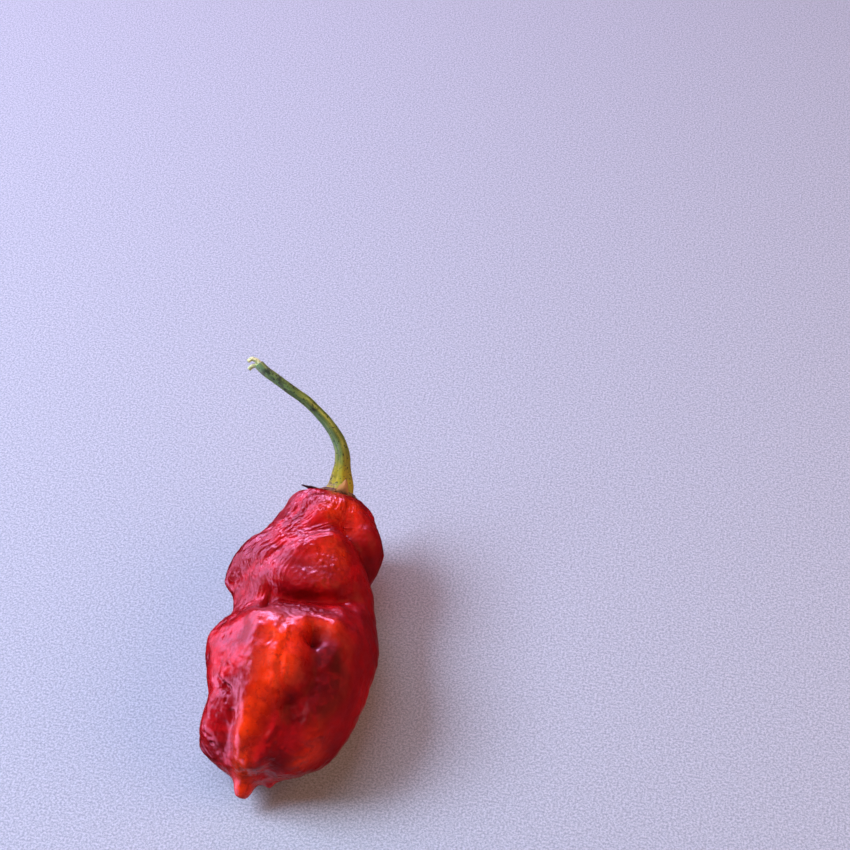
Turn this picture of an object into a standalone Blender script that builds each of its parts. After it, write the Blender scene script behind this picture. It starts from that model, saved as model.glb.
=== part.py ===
"""A ripe, wrinkled chilli pepper as picked, lying on its side.

Three pieces that grew together: the red pod, the dried calyx round the stem's foot, and the green stem
with its torn end. Lengths are in millimetres, and become metres where a mesh is made. +Y runs from the
pod's tip to its stem, +Z is up, and the origin is the middle of the flat spot that the pod rests on.
"""

import math

import bmesh
import bpy
import numpy as np
from mathutils import Vector, noise

MM = 0.001
GAP = 0.3

# The pod's axis, from the crown where the stem sits down to the tip: x, y, z.
POD_AXIS = (
    (0.8, 31.0, 18.4),
    (0.0, 23.2, 14.3),
    (-0.6, 12.5, 12.4),
    (0.0, 0.0, 12.2),
    (0.2, -12.0, 11.8),
    (-1.2, -21.0, 9.2),
    (-2.8, -26.6, 6.0),
    (-3.3, -30.1, 4.1),
)

# The pod's outline: how far along the axis from the crown, then how far the skin is from the axis on the
# left, on the right, below and above. The first rows are the dimple that the calyx sits in, and the crown is
# the distance that its heights are measured from.
POD_OUTLINE = (
    (2.3, 0.0, 0.0, 0.0, 0.0),
    (2.2, 1.7, 1.7, 1.7, 1.7),
    (1.6, 3.1, 3.1, 3.1, 3.1),
    (1.2, 4.3, 4.3, 4.3, 4.3),
    (1.6, 5.9, 5.7, 5.9, 5.6),
    (3.1, 7.6, 7.3, 8.0, 7.0),
    (5.4, 8.7, 9.1, 10.4, 8.4),
    (9.0, 10.2, 10.9, 12.6, 9.8),
    (13.5, 12.4, 11.7, 13.4, 11.2),
    (18.0, 14.8, 11.6, 13.3, 12.2),
    (21.5, 15.2, 12.2, 13.1, 12.2),
    (25.5, 13.6, 13.4, 12.9, 11.4),
    (29.0, 12.7, 14.3, 12.8, 11.2),
    (33.0, 14.0, 15.1, 12.8, 11.6),
    (37.5, 15.2, 15.4, 12.8, 12.9),
    (42.5, 14.6, 15.3, 12.4, 14.0),
    (47.5, 13.0, 14.6, 11.2, 13.8),
    (52.0, 11.7, 12.9, 9.2, 12.2),
    (56.0, 11.2, 10.3, 6.8, 9.6),
    (59.0, 10.2, 7.2, 5.0, 6.6),
    (61.0, 6.0, 4.2, 3.3, 4.2),
    (62.3, 2.5, 2.5, 2.4, 2.6),
    (63.8, 1.75, 1.75, 1.7, 1.7),
    (64.8, 1.0, 1.0, 1.0, 1.0),
    (65.1, 0.0, 0.0, 0.0, 0.0),
)
CROWN = 1.3

# Raised lines on the skin, then sunken ones: a sharpness, then rows of how far from the crown, the angle
# round the axis from the right side over the top, the height in millimetres and the width.
RIDGES = (
    ("shoulder bump", 2.0, (
        (5.2, 92, 0.7, 2.8), (7.5, 84, 1.1, 2.8),
    )),
    ("right lobe", 2.0, (
        (6.5, 38, 0.7, 3.4), (9.5, 30, 1.1, 3.8), (12.5, 20, 1.2, 3.2),
    )),
    ("upper crest", 2.0, (
        (13.5, 60, 0.4, 2.2), (15.5, 72, 1.0, 2.4), (18, 86, 0.7, 2.4), (21, 92, 1.0, 2.8),
        (24.5, 106, 0.8, 2.6), (26.5, 113, 0.4, 2.4),
    )),
    ("brow", 2.0, (
        (24.5, 44, 0.4, 2.4), (25.5, 60, 0.9, 2.6), (26, 76, 1.2, 2.8), (26.5, 96, 1.0, 2.6),
        (27, 112, 0.6, 2.4),
    )),
    ("knuckle", 2.0, (
        (31.5, 58, 0.7, 1.4), (33.5, 55, 0.5, 1.4),
    )),
    ("lower crest", 2.0, (
        (39, 100, 0.4, 3.0), (39.5, 88, 0.6, 3.0), (38.2, 76, 0.7, 2.4), (37.6, 62, 0.8, 2.2),
        (38, 46, 0.4, 2.8),
    )),
    ("keel", 1.9, (
        (35, 113, 0.2, 2.6), (38, 110, 0.8, 2.9), (41, 107, 1.1, 2.8), (44, 107, 0.9, 2.8),
        (47, 101, 1.2, 2.9), (51, 96, 1.0, 2.7), (55, 91, 1.3, 2.4), (59, 89, 1.0, 1.9),
        (61.5, 88, 0.4, 1.5),
    )),
    ("tip rib", 2.0, (
        (54, 66, 0.3, 1.4), (57, 64, 0.8, 1.4), (60, 62, 0.5, 1.3),
    )),
    ("pit edge", 1.8, (
        (38, 56, 0.2, 1.6), (40.5, 54, 0.4, 1.8), (43, 51, 0.2, 1.8),
    )),
    ("right front bump", 2.0, (
        (49, 44, 0.3, 2.2), (51, 40, 0.9, 2.2), (54, 32, 0.5, 2.2),
    )),
    ("left front bump", 2.0, (
        (46, 122, 0.2, 1.8), (47.3, 122, 0.5, 1.8),
    )),
    ("left lobe", 2.0, (
        (38, 152, 0.4, 4.0), (43, 148, 0.8, 4.2), (46, 152, 0.3, 3.5),
    )),
    ("left toe", 2.0, (
        (53, 146, 0.4, 3.0), (56, 138, 0.8, 3.0),
    )),
    ("left corner", 2.0, (
        (21, 168, 0.4, 2.0), (23, 168, 1.0, 1.8),
    )),
    ("chin", 2.0, (
        (60.2, 328, 0.4, 1.5), (61.0, 341, 1.0, 1.2),
    )),
    ("under lobe", 2.0, (
        (12, 300, 0.5, 4.0), (20, 325, 1.0, 4.5), (30, 318, 0.4, 4.0),
    )),
    ("back lobe", 2.0, (
        (30, 210, 0.3, 4.0), (40, 214, 0.9, 4.5), (50, 226, 0.5, 4.0),
    )),
)
CREASES = (
    ("waist", 1.6, (
        (27, 20, 0.4, 2.8), (28, 40, 1.4, 3.0), (29.6, 56, 2.5, 2.9), (30.2, 76, 3.2, 3.0),
        (30.6, 96, 3.3, 3.0), (31.2, 109, 2.2, 2.8), (31.8, 120, 1.0, 3.0), (32.5, 146, 0.9, 3.2),
        (32.5, 180, 0.9, 2.8), (31, 214, 0.5, 3.0),
    )),
    ("upper valley", 1.8, (
        (9, 66, 0.5, 2.2), (12.5, 80, 1.1, 2.3), (16.5, 95, 1.1, 2.4), (20.5, 110, 0.8, 2.4),
    )),
    ("shoulder wrinkle", 1.6, (
        (5.5, 104, 0.2, 0.9), (9, 108, 0.5, 1.0), (13, 106, 0.4, 1.0), (16, 108, 0.2, 0.9),
    )),
    ("shoulder wrinkle", 1.6, (
        (6.5, 122, 0.2, 0.9), (11, 120, 0.5, 1.1), (16, 121, 0.5, 1.1), (21, 124, 0.2, 0.9),
    )),
    ("shoulder wrinkle", 1.6, (
        (10, 133, 0.2, 0.9), (15, 131, 0.5, 1.1), (20, 136, 0.4, 1.1), (24, 134, 0.2, 0.9),
    )),
    ("lobe valley", 1.5, (
        (5.5, 64, 0.5, 1.8), (8.5, 61, 1.5, 2.1), (11.5, 52, 2.0, 2.2), (13.8, 38, 2.2, 2.2),
        (15.5, 22, 2.2, 2.2), (17, 6, 1.9, 2.2), (19, 346, 0.9, 2.4),
    )),
    ("pit", 1.7, (
        (39.0, 71, 1.2, 1.3), (40.6, 68, 2.1, 1.7),
    )),
    ("pit valley", 1.7, (
        (41, 64, 1.0, 2.2), (43.5, 60, 1.9, 2.8), (46, 56, 1.7, 3.0), (49, 60, 1.8, 3.0),
        (50.5, 65, 2.0, 3.0), (51.5, 72, 0.8, 2.6),
    )),
    ("beside the keel", 1.8, (
        (42, 122, 0.3, 2.4), (47, 114, 0.5, 2.2), (53, 107, 0.9, 2.0), (58, 106, 0.8, 1.8),
        (61, 106, 0.2, 1.6),
    )),
    ("above the tip", 1.8, (
        (54, 56, 0.4, 2.2), (57, 50, 0.9, 2.2), (60.3, 46, 0.6, 1.8),
    )),
    ("left pit", 1.4, (
        (50, 158, 0.6, 1.8), (50.3, 138, 0.6, 1.5), (50.6, 121, 0.9, 1.5),
    )),
    ("left dent", 2.0, (
        (24, 146, 0.8, 2.8), (26.5, 150, 1.0, 2.6),
    )),
    ("left shoulder crease", 1.5, (
        (8, 150, 0.5, 1.8), (13, 140, 0.9, 1.9), (18, 134, 0.6, 1.9),
    )),
    ("right flank", 1.6, (
        (26, 350, 0.5, 2.4), (33, 340, 1.0, 2.8), (42, 346, 0.8, 2.8), (50, 352, 0.4, 2.4),
    )),
    ("far flank", 1.6, (
        (9, 190, 0.5, 2.2), (16, 196, 1.1, 2.6), (24, 192, 0.8, 2.6),
    )),
    ("far lower flank", 1.6, (
        (38, 186, 0.6, 2.4), (45, 192, 1.1, 2.6), (53, 196, 0.7, 2.2),
    )),
    ("right underside", 1.6, (
        (10, 328, 0.5, 2.4), (17, 336, 1.2, 2.8), (24, 330, 0.6, 2.4),
    )),
    ("left underside", 1.6, (
        (8, 232, 0.5, 2.4), (15, 226, 1.2, 2.8), (28, 230, 1.0, 2.8), (37, 228, 0.6, 2.6),
    )),
    ("low front", 1.6, (
        (50, 318, 0.5, 2.2), (55, 312, 0.9, 2.2), (59, 304, 0.5, 1.8),
    )),
)
# The brow hangs over the waist: it leans towards the tip, in the same rows.
OVERHANGS = (
    ("brow", 2.2, (
        (24.5, 46, 0.6, 2.5), (25.8, 62, 2.1, 2.7), (26.4, 80, 3.1, 2.7), (26.8, 98, 3.0, 2.7),
        (27.6, 109, 1.8, 2.3), (28, 118, 0.5, 2.0),
    )),
)

POD_RINGS = 86
POD_COLUMNS = 66
LUMPS = ((9.0, 0.6), (4.6, 0.34), (2.9, 0.2))
SMOOTH_CROWN = (4.6, 7.6)
PAD = (5.5, 11.0)

# The calyx: the stem's seat in it, the rim round the seat, then its teeth with their angle round the
# crown, half their width in degrees, their length and how far they turn up from the shoulder.
SEAT_HEIGHT = 0.6
SEAT_RADIUS = 2.9
RIM = ((3.1, 1.3), (3.45, 1.15))
COLLAR_RADIUS = 3.65
CALYX_THICKNESS = 0.65
TOOTH_ROOT = 0.35
TEETH = (
    (172, 26, 3.4, 5),
    (66, 20, 3.0, 99),
    (10, 20, 0.5, -14),
    (116, 22, 0.6, -8),
    (248, 24, 1.5, 6),
    (316, 24, 0.7, -8),
)
CALYX_SIDES = 54

# The stem's straight foot, its middle line from there, then its radius at distances along it.
FOOT_RISE = 1.3
STEM_LINE = (
    (0.8, 33.8, 21.3),
    (0.7, 34.9, 22.9),
    (0.4, 35.9, 24.5),
    (-0.4, 36.9, 26.0),
    (-1.5, 37.6, 27.6),
    (-2.8, 38.3, 29.1),
    (-4.2, 38.8, 30.4),
    (-5.8, 39.3, 31.7),
    (-7.5, 39.7, 33.0),
    (-9.3, 40.0, 34.1),
    (-11.2, 40.5, 35.1),
    (-13.2, 41.1, 36.0),
    (-15.3, 41.8, 36.9),
    (-16.6, 42.6, 37.5),
)
STEM_RADII = (
    (0.0, 2.6),
    (0.5, 2.6),
    (1.8, 2.35),
    (3.6, 1.9),
    (5.5, 1.52),
    (8.0, 1.32),
    (10.5, 1.2),
    (14.0, 1.04),
    (18.0, 0.96),
    (23.0, 0.92),
    (28.0, 0.88),
    (32.0, 0.9),
)
STEM_RIBS = 5
STEM_RIB = 0.06
STEM_RINGS = 34
STEM_SIDES = 20

# The two slivers where the stem tore, each a line from inside the stem, and their radii.
SLIVERS = (
    ((-15.8, 42.3, 37.2), (-16.9, 42.9, 37.9), (-18.0, 42.9, 38.4), (-18.7, 42.3, 38.2)),
    ((-15.8, 42.1, 37.0), (-16.9, 42.5, 37.3), (-17.9, 42.3, 37.1), (-18.5, 42.1, 36.5)),
)
SLIVER_RADII = ((0.0, 0.5), (1.6, 0.45), (4.0, 0.34))

POD_RED = (0.55, 0.008, 0.01)
CALYX_BROWN = (0.12, 0.055, 0.025)
STEM_GREEN = (0.17, 0.24, 0.07)


def curve_span(four, samples=40):
    """The stretch of a centripetal Catmull-Rom curve between the middle two of four points."""
    knots = [0.0]
    for a, b in zip(four, four[1:]):
        knots.append(knots[-1] + max(np.linalg.norm(b - a), 1e-6) ** 0.5)
    t = np.linspace(knots[1], knots[2], samples, endpoint=False)[:, None]

    def blend(p, q, start, end):
        return ((end - t) * p + (t - start) * q) / (end - start)

    first = [blend(four[i], four[i + 1], knots[i], knots[i + 1]) for i in range(3)]
    second = [blend(first[i], first[i + 1], knots[i], knots[i + 2]) for i in range(2)]
    return blend(second[0], second[1], knots[1], knots[2])


def smooth_curve(points, count):
    """Rows evenly spaced along a smooth curve through the given rows, by their first three columns."""
    points = np.asarray(points, float)
    rows = np.vstack([2 * points[0] - points[1], points, 2 * points[-1] - points[-2]])
    spans = [curve_span(rows[k : k + 4]) for k in range(len(points) - 1)]
    dense = np.vstack([*spans, points[-1:]])
    steps = np.linalg.norm(np.diff(dense[:, :3], axis=0), axis=1)
    along = np.concatenate([[0.0], np.cumsum(steps)])
    wanted = np.linspace(0.0, along[-1], count)
    return np.column_stack([np.interp(wanted, along, column) for column in dense.T])


class Axis:
    """A smooth line in space that knows its direction, sideways and upwards at any distance along it."""

    def __init__(self, points):
        self.points = smooth_curve(points, 400)
        steps = np.linalg.norm(np.diff(self.points, axis=0), axis=1)
        self.along = np.concatenate([[0.0], np.cumsum(steps)])
        tangents = np.gradient(self.points, axis=0)
        self.tangents = tangents / np.linalg.norm(tangents, axis=1)[:, None]

    def frame(self, distance):
        """Centres, sideways, upwards and onwards at each distance. Past an end the line runs straight on."""
        inside = np.clip(distance, 0.0, self.along[-1])
        centre = np.column_stack([np.interp(inside, self.along, c) for c in self.points.T])
        onwards = np.column_stack([np.interp(inside, self.along, c) for c in self.tangents.T])
        onwards /= np.linalg.norm(onwards, axis=1)[:, None]
        centre += (distance - inside)[:, None] * onwards
        sideways = np.cross(np.array([0.0, 0.0, 1.0]), onwards)
        sideways /= np.linalg.norm(sideways, axis=1)[:, None]
        upwards = np.cross(onwards, sideways)
        return centre, sideways, upwards, onwards


class Pod:
    """The pod's smooth form, and the lines that are drawn on it."""

    def __init__(self):
        self.axis = Axis(POD_AXIS)
        self.rows = smooth_curve(POD_OUTLINE, 900)
        self.first = int(np.argmin(self.rows[:, 0]))

    def skin(self, rows, angle):
        """Points for each outline row by each angle, with the way onwards along the axis at each row."""
        centre, sideways, upwards, onwards = self.axis.frame(rows[:, 0])
        across, up = np.cos(angle)[None, :], np.sin(angle)[None, :]
        across = across * np.where(across > 0, rows[:, 2][:, None], rows[:, 1][:, None])
        up = up * np.where(up > 0, rows[:, 4][:, None], rows[:, 3][:, None])
        points = centre[:, None] + across[..., None] * sideways[:, None] + up[..., None] * upwards[:, None]
        return points, onwards

    def at(self, distance, degrees):
        """The point on the skin at a distance from the crown and an angle round the axis."""
        outer = self.rows[self.first :]
        row = [[np.interp(distance, outer[:, 0], column) for column in outer.T]]
        return self.skin(np.array(row), np.array([math.radians(degrees)]))[0][0, 0]

    def line(self, table):
        """A smooth line on the skin from table rows: x, y, z, height and width."""
        rows = [[*self.at(distance, degrees), height, width] for distance, degrees, height, width in table]
        return smooth_curve(rows, 8 * len(rows))


def smoothstep(low, high, value):
    t = np.clip((value - low) / (high - low), 0.0, 1.0)
    return t * t * (3 - 2 * t)


def grid_normals(points):
    """The outward direction at each point of a grid of rings that goes round."""
    across = np.roll(points, -1, axis=1) - np.roll(points, 1, axis=1)
    along = np.gradient(points, axis=0)
    normals = np.cross(across, along)
    normals[0] = normals[1].mean(axis=0)
    normals[-1] = normals[-2].mean(axis=0)
    return normals / np.linalg.norm(normals, axis=2)[..., None]


def line_effect(points, line, sharpness):
    """A line's height at each point: whole on the line, less away from it, and nothing far from it."""
    reach = 4.0 * line[:, 4].max()
    low, high = line[:, :3].min(axis=0) - reach, line[:, :3].max(axis=0) + reach
    inside = np.all((points > low) & (points < high), axis=1)
    near = points[inside]
    nearest = np.full(len(near), np.inf)
    values = np.ones((len(near), 2))
    for a, b in zip(line, line[1:]):
        step = b[:3] - a[:3]
        t = np.clip((near - a[:3]) @ step / (step @ step), 0.0, 1.0)
        away = np.linalg.norm(near - a[:3] - t[:, None] * step, axis=1)
        closer = away < nearest
        nearest = np.where(closer, away, nearest)
        values = np.where(closer[:, None], a[3:] + t[:, None] * (b[3:] - a[3:]), values)
    effect = np.zeros(len(points))
    effect[inside] = values[:, 0] * np.exp(-((nearest / values[:, 1]) ** sharpness))
    return effect


def table_effect(pod, points, table):
    total = np.zeros(len(points))
    for _, sharpness, rows in table:
        total += line_effect(points, pod.line(rows), sharpness)
    return total


def lumps(points):
    """Low uneven swellings, the same on every run."""
    total = np.zeros(len(points))
    for size, height in LUMPS:
        total += [height * noise.noise(Vector(p) / size + Vector((3.1, 7.7, 1.3))) for p in points]
    return total


def pod_points(pod, rings, columns):
    """The wrinkled skin as a grid of points, with its flat spot on the ground."""
    rows = smooth_curve(POD_OUTLINE, rings)
    angle = np.linspace(0.0, 2 * math.pi, columns, endpoint=False)
    grid, onwards = pod.skin(rows, angle)
    normals = grid_normals(grid).reshape(-1, 3)
    onwards = np.repeat(onwards, columns, axis=0)
    points = grid.reshape(-1, 3)
    crown = np.linalg.norm(points - crown_frame(pod)[0], axis=1)
    pad = np.hypot(points[:, 0] / PAD[0], points[:, 1] / PAD[1])
    free = smoothstep(*SMOOTH_CROWN, crown)
    free *= np.maximum(smoothstep(1.0, 1.9, pad), smoothstep(4.0, 9.0, points[:, 2]))
    height = table_effect(pod, points, RIDGES) - table_effect(pod, points, CREASES) + lumps(points)
    lean = table_effect(pod, points, OVERHANGS)
    points = points + (free * height)[:, None] * normals + (free * lean)[:, None] * onwards
    ground = np.where(pad < 1.15, 0.0, 0.2)
    points[:, 2] = np.maximum(points[:, 2], ground)
    return points.reshape(rings, columns, 3)


def tube_points(line, radii, rings, sides, ribs, rib):
    """Rings of points round a smooth line, with lengthwise ribs."""
    middle = smooth_curve(line, rings)
    steps = np.linalg.norm(np.diff(middle, axis=0), axis=1)
    along = np.concatenate([[0.0], np.cumsum(steps)])
    table = np.array(radii)
    size = np.interp(along, table[:, 0], table[:, 1])
    tangents = np.gradient(middle, axis=0)
    tangents /= np.linalg.norm(tangents, axis=1)[:, None]
    side = np.cross(tangents[0], np.array([0.0, 0.0, 1.0]))
    angle = np.linspace(0.0, 2 * math.pi, sides, endpoint=False)
    rings_out = []
    for centre, forward, radius in zip(middle, tangents, size):
        side = side - (side @ forward) * forward
        side /= np.linalg.norm(side)
        other = np.cross(forward, side)
        reach = radius * (1 + rib * np.cos(ribs * angle))
        around = np.cos(angle)[:, None] * side + np.sin(angle)[:, None] * other
        rings_out.append(centre + reach[:, None] * around)
    return np.array(rings_out), middle


def crown_frame(pod):
    """The crown's middle, and its sideways, upwards and outward directions."""
    centre, sideways, upwards, onwards = pod.axis.frame(np.array([CROWN]))
    return centre[0], sideways[0], upwards[0], -onwards[0]


def tooth_shape(degrees):
    """How long the calyx is past its collar at an angle round the crown, and how far it turns up."""
    length, turn = TOOTH_ROOT, 12.0
    for middle, half, reach, lift in TEETH:
        off = abs((degrees - middle + 180) % 360 - 180) / half
        if off < 1:
            length = TOOTH_ROOT + (reach - TOOTH_ROOT) * (1 - off) ** 0.8
            turn = lift
    return length, turn


def calyx_points(pod, sides):
    """Two grids of points from the middle of the calyx to its edge: its underside and its top."""
    centre, sideways, upwards, outward = crown_frame(pod)
    outline = pod.rows[: pod.first + 200]
    reach = np.hypot(outline[:, 1], outline[:, 4]) / math.sqrt(2)
    under_radii = (0.0, 1.3, 2.4, 3.1, COLLAR_RADIUS)
    angle = np.linspace(0.0, 2 * math.pi, sides, endpoint=False)
    under, top = [], []
    for radius in under_radii:
        row = np.array([[np.interp(radius, reach, column) for column in outline.T]])
        ring = pod.skin(row, angle)[0][0]
        under.append(ring + GAP * outward)
    for radius, height in ((0.0, SEAT_HEIGHT), (1.6, SEAT_HEIGHT), (SEAT_RADIUS, SEAT_HEIGHT), *RIM):
        ring = np.cos(angle)[:, None] * sideways + np.sin(angle)[:, None] * upwards
        top.append(centre + radius * ring + height * outward)
    collar = under[-1]
    top.append(collar + CALYX_THICKNESS * outward)
    radial = np.cos(angle)[:, None] * sideways + np.sin(angle)[:, None] * upwards
    shapes = np.array([tooth_shape(math.degrees(a)) for a in angle])
    turn = np.radians(shapes[:, 1])[:, None]
    way = np.cos(turn) * radial + np.sin(turn) * outward
    face = np.cos(turn) * outward - np.sin(turn) * radial
    for share in (0.33, 0.67, 1.0):
        out = share * shapes[:, 0][:, None] * way
        thickness = CALYX_THICKNESS - 0.08 * share
        under.append(collar + out)
        top.append(collar + out + thickness * face)
    return np.array(under), np.array(top)


def solid(name, vertices, faces, material):
    """An object made of one closed mesh, with its faces turned outward."""
    mesh = bpy.data.meshes.new(name)
    mesh.from_pydata([tuple(MM * v) for v in np.asarray(vertices)], [], faces)
    obj = bpy.data.objects.new(name, mesh)
    bpy.context.scene.collection.objects.link(obj)
    tidy = bmesh.new()
    tidy.from_mesh(mesh)
    bmesh.ops.recalc_face_normals(tidy, faces=tidy.faces)
    tidy.to_mesh(mesh)
    tidy.free()
    if material:
        mesh.materials.append(material)
    return obj


def ring_faces(rings, sides, start):
    """Faces between neighbouring rings of points numbered on from start."""
    faces = []
    for i in range(rings - 1):
        for j in range(sides):
            k = (j + 1) % sides
            a, b = start + i * sides, start + (i + 1) * sides
            faces.append((a + j, a + k, b + k, b + j))
    return faces


def capped(rings, first=None, last=None):
    """Points and faces of rings closed by a point at each end."""
    count, sides = rings.shape[:2]
    first = rings[0].mean(axis=0) if first is None else first
    last = rings[-1].mean(axis=0) if last is None else last
    points = np.vstack([first, rings.reshape(-1, 3), last])
    faces = ring_faces(count, sides, 1)
    end = len(points) - 1
    for j in range(sides):
        k = (j + 1) % sides
        faces.append((0, 1 + k, 1 + j))
        faces.append((end, end - sides + j, end - sides + k))
    return points, faces


def material(name, colour, roughness):
    """A plain shaded material."""
    made = bpy.data.materials.new(name)
    made.use_nodes = True
    shader = made.node_tree.nodes["Principled BSDF"]
    shader.inputs["Base Color"].default_value = (*colour, 1.0)
    shader.inputs["Roughness"].default_value = roughness
    made.diffuse_color = (*colour, 1.0)
    return made


def make_pod(pod, look):
    grid = pod_points(pod, POD_RINGS, POD_COLUMNS)
    points, faces = capped(grid[1:-1], grid[0, 0], grid[-1, 0])
    return solid("pod", points, faces, look)


def make_calyx(pod, look):
    under, top = calyx_points(pod, CALYX_SIDES)
    rings = np.concatenate([under[1:], top[:0:-1]])
    points, faces = capped(rings, under[0, 0], top[0, 0])
    return solid("calyx", points, faces, look)


def make_stem(pod, look):
    centre, _, _, outward = crown_frame(pod)
    foot = centre + (SEAT_HEIGHT + GAP) * outward
    start = (tuple(foot), tuple(foot + FOOT_RISE * outward))
    rings, _ = tube_points((*start, *STEM_LINE), STEM_RADII, STEM_RINGS, STEM_SIDES, STEM_RIBS, STEM_RIB)
    points, faces = capped(rings)
    stem = solid("stem", points, faces, look)
    for number, line in enumerate(SLIVERS):
        rings, _ = tube_points(line, SLIVER_RADII, 9, 8, 3, 0.1)
        points, faces = capped(rings)
        sliver = solid("sliver_%d" % number, points, faces, look)
        join(stem, sliver)
    return stem


def join(body, tool):
    """Make a tool part of a body, and take the tool away."""
    union = body.modifiers.new("join", "BOOLEAN")
    union.operation = "UNION"
    union.solver = "EXACT"
    union.object = tool
    graph = bpy.context.evaluated_depsgraph_get()
    joined = bpy.data.meshes.new_from_object(body.evaluated_get(graph))
    body.modifiers.clear()
    body.data = joined
    bpy.data.objects.remove(tool)


def main():
    for obj in list(bpy.data.objects):
        bpy.data.objects.remove(obj)
    pod = Pod()
    make_pod(pod, material("pod skin", POD_RED, 0.3))
    make_calyx(pod, material("dried calyx", CALYX_BROWN, 0.8))
    make_stem(pod, material("green stem", STEM_GREEN, 0.5))


main()
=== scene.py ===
"""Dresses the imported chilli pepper: wrinkled skin, dried calyx, speckled stem, light and camera."""

import math

import bmesh
import bpy
import numpy as np
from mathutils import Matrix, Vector, noise


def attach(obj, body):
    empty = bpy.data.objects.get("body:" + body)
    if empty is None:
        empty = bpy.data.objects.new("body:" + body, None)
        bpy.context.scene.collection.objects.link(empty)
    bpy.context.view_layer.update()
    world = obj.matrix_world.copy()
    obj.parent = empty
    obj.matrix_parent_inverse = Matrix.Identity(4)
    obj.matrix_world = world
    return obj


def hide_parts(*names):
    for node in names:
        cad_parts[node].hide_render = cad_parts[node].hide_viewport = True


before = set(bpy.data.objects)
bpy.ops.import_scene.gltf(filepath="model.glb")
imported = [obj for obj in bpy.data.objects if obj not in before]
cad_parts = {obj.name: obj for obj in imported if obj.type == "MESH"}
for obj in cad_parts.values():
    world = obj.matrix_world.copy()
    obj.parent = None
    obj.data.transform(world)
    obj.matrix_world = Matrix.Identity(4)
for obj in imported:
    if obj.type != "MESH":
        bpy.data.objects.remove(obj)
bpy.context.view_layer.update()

# The shape. Its numbers are millimetres, as in the part's source, and become metres in each mesh.
MM = 0.001
GAP = 0.3

# The pod's axis, from the crown where the stem sits down to the tip: x, y, z.
POD_AXIS = (
    (0.8, 31.0, 18.4),
    (0.0, 23.2, 14.3),
    (-0.6, 12.5, 12.4),
    (0.0, 0.0, 12.2),
    (0.2, -12.0, 11.8),
    (-1.2, -21.0, 9.2),
    (-2.8, -26.6, 6.0),
    (-3.3, -30.1, 4.1),
)

# The pod's outline: how far along the axis from the crown, then how far the skin is from the axis
# on the left, on the right, below and above. The first rows are the dimple that the calyx sits in,
# and the crown is the distance that its heights are measured from.
POD_OUTLINE = (
    (2.3, 0.0, 0.0, 0.0, 0.0),
    (2.2, 1.7, 1.7, 1.7, 1.7),
    (1.6, 3.1, 3.1, 3.1, 3.1),
    (1.2, 4.3, 4.3, 4.3, 4.3),
    (1.6, 5.9, 5.7, 5.9, 5.6),
    (3.1, 7.6, 7.3, 8.0, 7.0),
    (5.4, 8.7, 9.1, 10.4, 8.4),
    (9.0, 10.2, 10.9, 12.6, 9.8),
    (13.5, 12.4, 11.7, 13.4, 11.2),
    (18.0, 14.8, 11.6, 13.3, 12.2),
    (21.5, 15.2, 12.2, 13.1, 12.2),
    (25.5, 13.6, 13.4, 12.9, 11.4),
    (29.0, 12.7, 14.3, 12.8, 11.2),
    (33.0, 14.0, 15.1, 12.8, 11.6),
    (37.5, 15.2, 15.4, 12.8, 12.9),
    (42.5, 14.6, 15.3, 12.4, 14.0),
    (47.5, 13.0, 14.6, 11.2, 13.8),
    (52.0, 11.7, 12.9, 9.2, 12.2),
    (56.0, 11.2, 10.3, 6.8, 9.6),
    (59.0, 10.2, 7.2, 5.0, 6.6),
    (61.0, 6.0, 4.2, 3.3, 4.2),
    (62.3, 2.5, 2.5, 2.4, 2.6),
    (63.8, 1.75, 1.75, 1.7, 1.7),
    (64.8, 1.0, 1.0, 1.0, 1.0),
    (65.1, 0.0, 0.0, 0.0, 0.0),
)
CROWN = 1.3

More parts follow.
